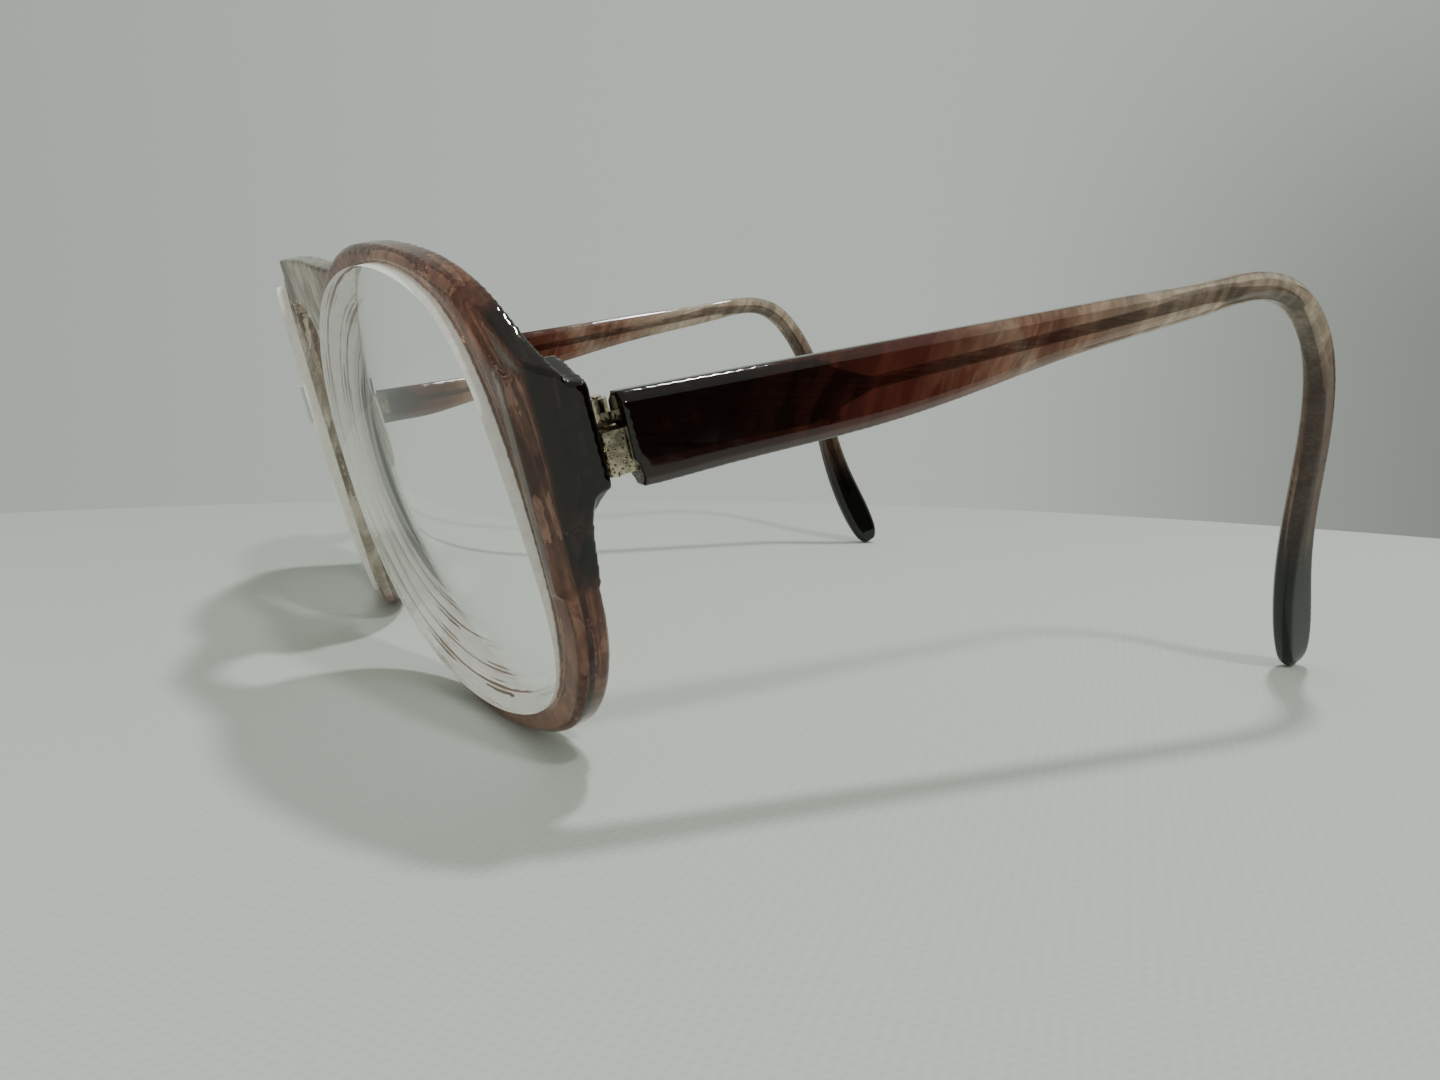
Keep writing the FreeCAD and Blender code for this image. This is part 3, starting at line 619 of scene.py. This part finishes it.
def lens_mesh(node, around=144, rings=22):
    """A lens turned from its two ball surfaces, with a ridge round its ground edge."""
    form = LensForm(node)
    angles = np.linspace(0, 2 * math.pi, around, endpoint=False)
    full = form.terms(angles) @ form.rim
    body = full - RIDGE_HEIGHT
    work = bmesh.new()

    def add_ring(places):
        return [work.verts.new(place) for place in places]

    def add_band(first, second, material):
        for i in range(around):
            j = (i + 1) % around
            face = work.faces.new((first[i], first[j], second[j], second[i]))
            face.material_index = material
            face.smooth = True

    def face_rings(ball):
        rows = []
        for k in range(1, rings + 1):
            reach = (k / rings) ** 0.85 * body
            rows.append(add_ring(form.on_ball(ball, reach * np.cos(angles), reach * np.sin(angles))))
        return rows

    def add_fan(ball, ring, outward):
        hub = work.verts.new(form.on_ball(ball, np.zeros(1), np.zeros(1))[0])
        for i in range(around):
            corners = (hub, ring[i], ring[(i + 1) % around])
            face = work.faces.new(corners if outward else corners[::-1])
            face.smooth = True

    front_rows, back_rows = face_rings(form.front_ball), face_rings(form.back_ball)
    add_fan(form.front_ball, front_rows[0], True)
    add_fan(form.back_ball, back_rows[0], False)
    for inner, outer in zip(front_rows, front_rows[1:]):
        add_band(outer, inner, 0)
    for inner, outer in zip(back_rows, back_rows[1:]):
        add_band(inner, outer, 0)
    back_edge = np.array([vert.co for vert in back_rows[-1]])
    outward = np.outer(np.cos(angles), form.across) + np.outer(np.sin(angles), form.up)
    half = form.axis * RIDGE_HALF_WIDTH
    foot = form.centre + outward * body[:, None] + form.axis * form.crest
    loops = [
        front_rows[-1],
        add_ring(foot + half),
        add_ring(foot + outward * RIDGE_HEIGHT),
        add_ring(foot - half),
        add_ring(0.5 * (foot - half + back_edge)),
        back_rows[-1],
    ]
    for first, second in zip(loops, loops[1:]):
        add_band(second, first, 1)
    bmesh.ops.recalc_face_normals(work, faces=work.faces)
    mesh = bpy.data.meshes.new(node + "_ground")
    work.to_mesh(mesh)
    work.free()
    mesh.set_sharp_from_angle(angle=math.radians(30))
    return mesh


# ---- geometry nodes: grains of the cast hinge end ----------------------------------------------
def cast_grain_tree(material):
    """Scatters faceted grains over a patch and sets their material."""
    tree = bpy.data.node_groups.new("Cast grain", "GeometryNodeTree")
    tree.interface.new_socket("Patch", in_out="INPUT", socket_type="NodeSocketGeometry")
    tree.interface.new_socket("Grains per square metre", in_out="INPUT", socket_type="NodeSocketFloat")
    tree.interface.new_socket("Grain size", in_out="INPUT", socket_type="NodeSocketFloat")
    tree.interface.new_socket("Grains", in_out="OUTPUT", socket_type="NodeSocketGeometry")
    graph = Graph(tree)
    given = graph.add("NodeGroupInput").outputs
    scatter = graph.add("GeometryNodeDistributePointsOnFaces", {"Mesh": given["Patch"], "Seed": 7})
    graph.put(scatter.inputs["Density"], given["Grains per square metre"])
    grain = graph.add("GeometryNodeMeshIcoSphere", {"Radius": given["Grain size"], "Subdivisions": 1})
    size = graph.add("FunctionNodeRandomValue", {"Seed": 3}, data_type="FLOAT_VECTOR")
    size.inputs["Min"].default_value = (0.4, 0.4, 0.25)
    size.inputs["Max"].default_value = (1.0, 1.0, 0.7)
    spin = graph.add("FunctionNodeRandomValue", {"Seed": 5}, data_type="FLOAT_VECTOR")
    spin.inputs["Max"].default_value = (0.7, 0.7, 6.28)
    place = graph.add("GeometryNodeInstanceOnPoints", {"Points": scatter.outputs["Points"]})
    graph.put(place.inputs["Instance"], grain.outputs["Mesh"])
    graph.put(place.inputs["Rotation"], scatter.outputs["Rotation"])
    graph.put(place.inputs["Scale"], size.outputs[0])
    turn = graph.add("GeometryNodeRotateInstances", {"Instances": place.outputs["Instances"]})
    graph.put(turn.inputs["Rotation"], spin.outputs[0])
    real = graph.add("GeometryNodeRealizeInstances", {"Geometry": turn.outputs["Instances"]})
    finish = graph.add("GeometryNodeSetMaterial", {"Material": material})
    graph.put(finish.inputs["Geometry"], real.outputs["Geometry"])
    output = graph.add("NodeGroupOutput")
    graph.put(output.inputs["Grains"], finish.outputs["Geometry"])
    return tree


def grown_mesh(name, patch, tree, values):
    """A plain mesh from a patch and a geometry tree with the given named inputs."""
    holder = bpy.data.objects.new(name, patch)
    bpy.context.scene.collection.objects.link(holder)
    modifier = holder.modifiers.new("Grow", "NODES")
    modifier.node_group = tree
    for item in tree.interface.items_tree:
        if item.in_out == "INPUT" and item.name in values:
            modifier[item.identifier] = values[item.name]
    depsgraph = bpy.context.evaluated_depsgraph_get()
    mesh = bpy.data.meshes.new_from_object(holder.evaluated_get(depsgraph))
    bpy.data.objects.remove(holder)
    mesh.name = name
    return mesh


# ---- operators --------------------------------------------------------------------------------
class EYEGLASSES_OT_stage(bpy.types.Operator):
    """Round table, plain surroundings, soft light and the camera"""

    bl_idname = "eyeglasses.stage"
    bl_label = "Stage and camera"

    def execute(self, context):
        stage = context.scene.eyeglasses_stage
        self.add_table(stage)
        self.add_surroundings(stage)
        self.add_dark_card()
        for lamp in LAMPS:
            self.add_light(*lamp)
        self.add_camera(stage)
        return {"FINISHED"}

    def add_table(self, stage):
        """A disc with a softly rolled edge, hanging down at the sides."""
        work = bmesh.new()
        radius, roll, hang = stage.table_radius, 0.018, 0.30
        turns = np.linspace(0.15, math.pi / 2, 8)
        profile = [(radius * k / 12, 0.0) for k in range(13)]
        profile += [(radius + roll * math.sin(a), roll * (math.cos(a) - 1)) for a in turns]
        profile.append((radius + roll, -hang))
        angles = [2 * math.pi * i / TABLE_SEGMENTS for i in range(TABLE_SEGMENTS)]
        previous = None
        for r, z in profile:
            rim = [Vector((r * math.cos(a), r * math.sin(a), z)) for a in angles]
            ring = [work.verts.new(TABLE_CENTRE + place) for place in rim]
            if previous:
                for i in range(TABLE_SEGMENTS):
                    j = (i + 1) % TABLE_SEGMENTS
                    work.faces.new((previous[i], ring[i], ring[j], previous[j])).smooth = True
            previous = ring
        bmesh.ops.remove_doubles(work, verts=work.verts, dist=1e-7)
        mesh = bpy.data.meshes.new("Table")
        work.to_mesh(mesh)
        work.free()
        material, graph, shader = new_material("Table cover")
        place = object_place(graph)
        far_side = graph.add("ShaderNodeSeparateXYZ", {"Vector": place}).outputs[0]
        waves = {"Vector": place, "Detail": 1.0}
        weave = graph.add("ShaderNodeTexWave", {**waves, "Scale": 420.0, "Distortion": 0.6})
        weave.bands_direction = "DIAGONAL"
        cross = graph.add("ShaderNodeTexWave", {**waves, "Scale": 360.0, "Distortion": 0.5})
        cloth = graph.math("MULTIPLY", weave.outputs["Fac"], cross.outputs["Fac"])
        # painted shade: the cover darkens to 0.82 of its colour towards the far side, away from the camera,
        # as if less lit there
        painted_far_shade = shaded(stage.table_colour, 0.82)
        cover = graph.mix(graph.ramp(far_side, 0.06, -0.16), stage.table_colour, painted_far_shade)
        graph.put(shader.inputs["Base Color"], graph.mix(cloth, cover, shaded(stage.table_colour, 0.93)))
        shader.inputs["Roughness"].default_value = 0.85
        bump = graph.add("ShaderNodeBump", {"Strength": 0.12, "Distance": 0.2 * MM, "Height": cloth})
        graph.put(shader.inputs["Normal"], bump.outputs["Normal"])
        mesh.materials.append(material)
        table = bpy.data.objects.new("Table", mesh)
        bpy.context.scene.collection.objects.link(table)

    def add_surroundings(self, stage):
        world = bpy.data.worlds.new("Surroundings")
        bpy.context.scene.world = world
        world.use_nodes = True
        graph = Graph(world.node_tree)
        graph.tree.nodes.clear()
        ways = graph.add("ShaderNodeTexCoord")
        parts = graph.add("ShaderNodeSeparateXYZ", {"Vector": ways.outputs["Generated"]})
        dim, soft = shaded(stage.wall_colour, 0.44), shaded(stage.wall_colour, 0.80)
        sideways = graph.add("ShaderNodeVectorMath", operation="DOT_PRODUCT")
        graph.put(sideways.inputs[0], ways.outputs["Generated"])
        sideways.inputs[1].default_value = (CAMERA_RIGHT.x, CAMERA_RIGHT.y, 0.0)
        low = graph.ramp(parts.outputs[2], 0.45, 0.0)
        corner = graph.math("MULTIPLY", graph.ramp(sideways.outputs["Value"], 0.15, 0.62), low)
        colour = graph.mix(graph.ramp(parts.outputs[2], 0.35, 0.9), stage.wall_colour, soft)
        colour = graph.mix(graph.ramp(sideways.outputs["Value"], -0.05, -0.7), colour, soft)
        colour = graph.mix(corner, colour, dim)
        light = graph.add("ShaderNodeBackground", {"Color": colour, "Strength": 1.0})
        output = graph.add("ShaderNodeOutputWorld")
        graph.put(output.inputs["Surface"], light.outputs[0])

    def add_dark_card(self):
        """A dark card beside the camera that shows only in reflections: a painted dark reflection that
        deepens the polished sides.
        """
        x, front, back, bottom, top = 0.34, -0.30, 0.55, 0.002, 0.34
        corners = [(x, front, bottom), (x, back, bottom), (x, back, top), (x, front, top)]
        mesh = bpy.data.meshes.new("Dark card")
        mesh.from_pydata(corners, [], [(3, 2, 1, 0)])
        material, graph, shader = new_material("Dark card")
        place = object_place(graph)
        nap = graph.ramp(graph.noise(place, 30.0), 0.3, 0.7)
        painted_reflection_tone = graph.mix(nap, (0.02, 0.02, 0.02, 1), (0.035, 0.03, 0.028, 1))
        graph.put(shader.inputs["Base Color"], painted_reflection_tone)
        shader.inputs["Roughness"].default_value = 1.0
        mesh.materials.append(material)
        card = bpy.data.objects.new("Dark card", mesh)
        # painted reflection: the card is seen by glossy rays only, so it darkens reflections without casting
        # shadow or taking light
        card.visible_camera = False
        card.visible_diffuse = False
        card.visible_transmission = False
        card.visible_shadow = False
        bpy.context.scene.collection.objects.link(card)

    def add_light(self, name, place, size, power):
        data = bpy.data.lights.new(name, "AREA")
        data.shape = "DISK"
        data.size = size
        data.energy = power
        light = bpy.data.objects.new(name, data)
        light.location = place
        light.rotation_euler = (-place).to_track_quat("-Z", "Y").to_euler()
        bpy.context.scene.collection.objects.link(light)

    def add_camera(self, stage):
        data = bpy.data.cameras.new("Camera")
        data.lens = stage.camera_lens
        data.sensor_width = SENSOR_WIDTH
        data.clip_start, data.clip_end = 0.01, 20.0
        camera = bpy.data.objects.new("Camera", data)
        forward = CAMERA_UP.cross(CAMERA_RIGHT).normalized()
        right = forward.cross(CAMERA_UP).normalized()
        turn = Matrix((right, right.cross(forward), -forward)).transposed().to_4x4()
        camera.matrix_world = Matrix.Translation(CAMERA_PLACE) @ turn
        bpy.context.scene.collection.objects.link(camera)
        bpy.context.scene.camera = camera


class EYEGLASSES_OT_front(bpy.types.Operator):
    """Polished acetate front with rounded edges"""

    bl_idname = "eyeglasses.front"
    bl_label = "Acetate front"

    def execute(self, context):
        shades = context.scene.eyeglasses_acetate
        rivets = ["hinge_front_rivets_" + side for side in SIDES]
        mesh = tumbled_copy("front_frame", rivets, shades.front_grain, 5)
        show_mesh("front_acetate", mesh, [front_acetate()], "front", "front_frame")
        return {"FINISHED"}


class EYEGLASSES_OT_pads(bpy.types.Operator):
    """Nose pads, tumbled round"""

    bl_idname = "eyeglasses.pads"
    bl_label = "Nose pads"

    def execute(self, context):
        material = pad_acetate()
        for side in SIDES:
            node = "nose_pad_" + side
            mesh = tumbled_copy(node, [], context.scene.eyeglasses_acetate.pad_grain, 14)
            show_mesh("pad_" + side, mesh, [material], "front", node)
        return {"FINISHED"}


class EYEGLASSES_OT_lenses(bpy.types.Operator):
    """Lenses with polished faces and a frosted, ridged edge"""

    bl_idname = "eyeglasses.lenses"
    bl_label = "Lenses"

    def execute(self, context):
        materials = [lens_glass(), ground_edge()]
        for side in SIDES:
            node = "lens_" + side
            show_mesh("ground_lens_" + side, lens_mesh(node), materials, "front", node)
        return {"FINISHED"}


class EYEGLASSES_OT_temples(bpy.types.Operator):
    """Acetate temples with softened bevels"""

    bl_idname = "eyeglasses.temples"
    bl_label = "Temples"

    def execute(self, context):
        shades = context.scene.eyeglasses_acetate
        material = temple_acetate()
        for side in SIDES:
            node = "temple_" + side
            inserts = ["temple_core_" + side, "hinge_temple_rivets_" + side]
            mesh = tumbled_copy(node, inserts, shades.temple_grain, 4)
            show_mesh("temple_acetate_" + side, mesh, [material], node, node)
        return {"FINISHED"}


class EYEGLASSES_OT_metalwork(bpy.types.Operator):
    """Cores, hinge leaves, screws and rivets, with the cast grain on the temple leaves"""

    bl_idname = "eyeglasses.metalwork"
    bl_label = "Cores, hinges and fastenings"

    def execute(self, context):
        plate = gold_plate("Hinge gold", 0.14, 0.34, 0.5)
        finishes = {
            "temple_core": core_steel(),
            "hinge_front_leaf": plate,
            "hinge_temple_leaf": plate,
            "hinge_screw": gold_plate("Screw gold", 0.10, 0.30, 0.35),
            "hinge_front_rivets": gold_plate("Rivet gold", 0.16, 0.38, 0.4),
        }
        finishes["hinge_temple_rivets"] = finishes["hinge_front_rivets"]
        for part, material in finishes.items():
            for side in SIDES:
                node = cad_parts[part + "_" + side]
                node.data.materials.clear()
                node.data.materials.append(material)
        # cast gold at 0.4 of the gold and fully tarnished: partly the darker cast finish, partly painted
        # shade of the gap between end piece and temple
        self.add_cast_grain(context, gold_plate("Cast gold", 0.2, 0.45, 1.0, 0.4))
        return {"FINISHED"}

    def add_cast_grain(self, context, material):
        """Grains on the part of the temple leaf that shows in the gap."""
        metal = context.scene.eyeglasses_metal
        tree = cast_grain_tree(material)
        values = {"Grains per square metre": metal.grain_count, "Grain size": metal.grain_size * 0.5}
        for side in SIDES:
            patch = self.cast_patch("hinge_temple_leaf_" + side)
            mesh = grown_mesh("cast_grain_" + side, patch, tree, values)
            show_mesh("cast_grain_" + side, mesh, [material], "temple_" + side, None)

    def cast_patch(self, node):
        """The outer and forward faces of the cast block that stands in the gap before the temple."""
        work = merged_copy(node)
        work.normal_update()
        ahead = Vector((0.0, -math.cos(FRONT_PITCH), -math.sin(FRONT_PITCH)))
        outwards = Vector((1.0 if node.endswith("left") else -1.0, 0.0, 0.0))
        block = [vert.co for vert in work.verts if vert.co.dot(outwards) > TEMPLE_INSIDE_X]
        foremost = max(place.dot(ahead) for place in block)
        keep = set()
        for face in work.faces:
            middle = face.calc_center_median()
            on_block = middle.dot(outwards) > TEMPLE_INSIDE_X
            on_block = on_block and middle.dot(ahead) > foremost - CAST_BLOCK_DEPTH
            if on_block and max(face.normal.dot(ahead), face.normal.dot(outwards)) > SQUARE_ON:
                keep.add(face)
        if not keep:
            raise RuntimeError("No cast block found on " + node)
        bmesh.ops.delete(work, geom=[face for face in work.faces if face not in keep], context="FACES")
        mesh = bpy.data.meshes.new(node + "_cast_patch")
        work.to_mesh(mesh)
        work.free()
        return mesh


class EYEGLASSES_PT_builder(bpy.types.Panel):
    """Sidebar panel with a button for each group of pieces"""

    bl_label = "Acetate eyeglasses"
    bl_idname = "EYEGLASSES_PT_builder"
    bl_space_type = "VIEW_3D"
    bl_region_type = "UI"
    bl_category = "Eyeglasses"

    def draw(self, context):
        for kind in OPERATORS:
            self.layout.operator(kind.bl_idname)
        for group in SETTINGS:
            settings = getattr(context.scene, group)
            box = self.layout.box()
            for name in settings.bl_rna.properties.keys():
                if name not in ("rna_type", "name"):
                    box.prop(settings, name)


SETTINGS = {
    "eyeglasses_acetate": EyeglassesAcetate,
    "eyeglasses_lens": EyeglassesLens,
    "eyeglasses_metal": EyeglassesMetal,
    "eyeglasses_stage": EyeglassesStage,
}
OPERATORS = (
    EYEGLASSES_OT_stage,
    EYEGLASSES_OT_front,
    EYEGLASSES_OT_pads,
    EYEGLASSES_OT_lenses,
    EYEGLASSES_OT_temples,
    EYEGLASSES_OT_metalwork,
)


def register():
    for kind in (*SETTINGS.values(), *OPERATORS, EYEGLASSES_PT_builder):
        bpy.utils.register_class(kind)
    for name, kind in SETTINGS.items():
        setattr(bpy.types.Scene, name, bpy.props.PointerProperty(type=kind))


def unregister():
    for name in SETTINGS:
        delattr(bpy.types.Scene, name)
    for kind in (EYEGLASSES_PT_builder, *reversed(OPERATORS), *SETTINGS.values()):
        bpy.utils.unregister_class(kind)


def main():
    register()
    bpy.ops.eyeglasses.stage()
    bpy.ops.eyeglasses.front()
    bpy.ops.eyeglasses.pads()
    bpy.ops.eyeglasses.lenses()
    bpy.ops.eyeglasses.temples()
    bpy.ops.eyeglasses.metalwork()


if __name__ == "__main__":
    main()
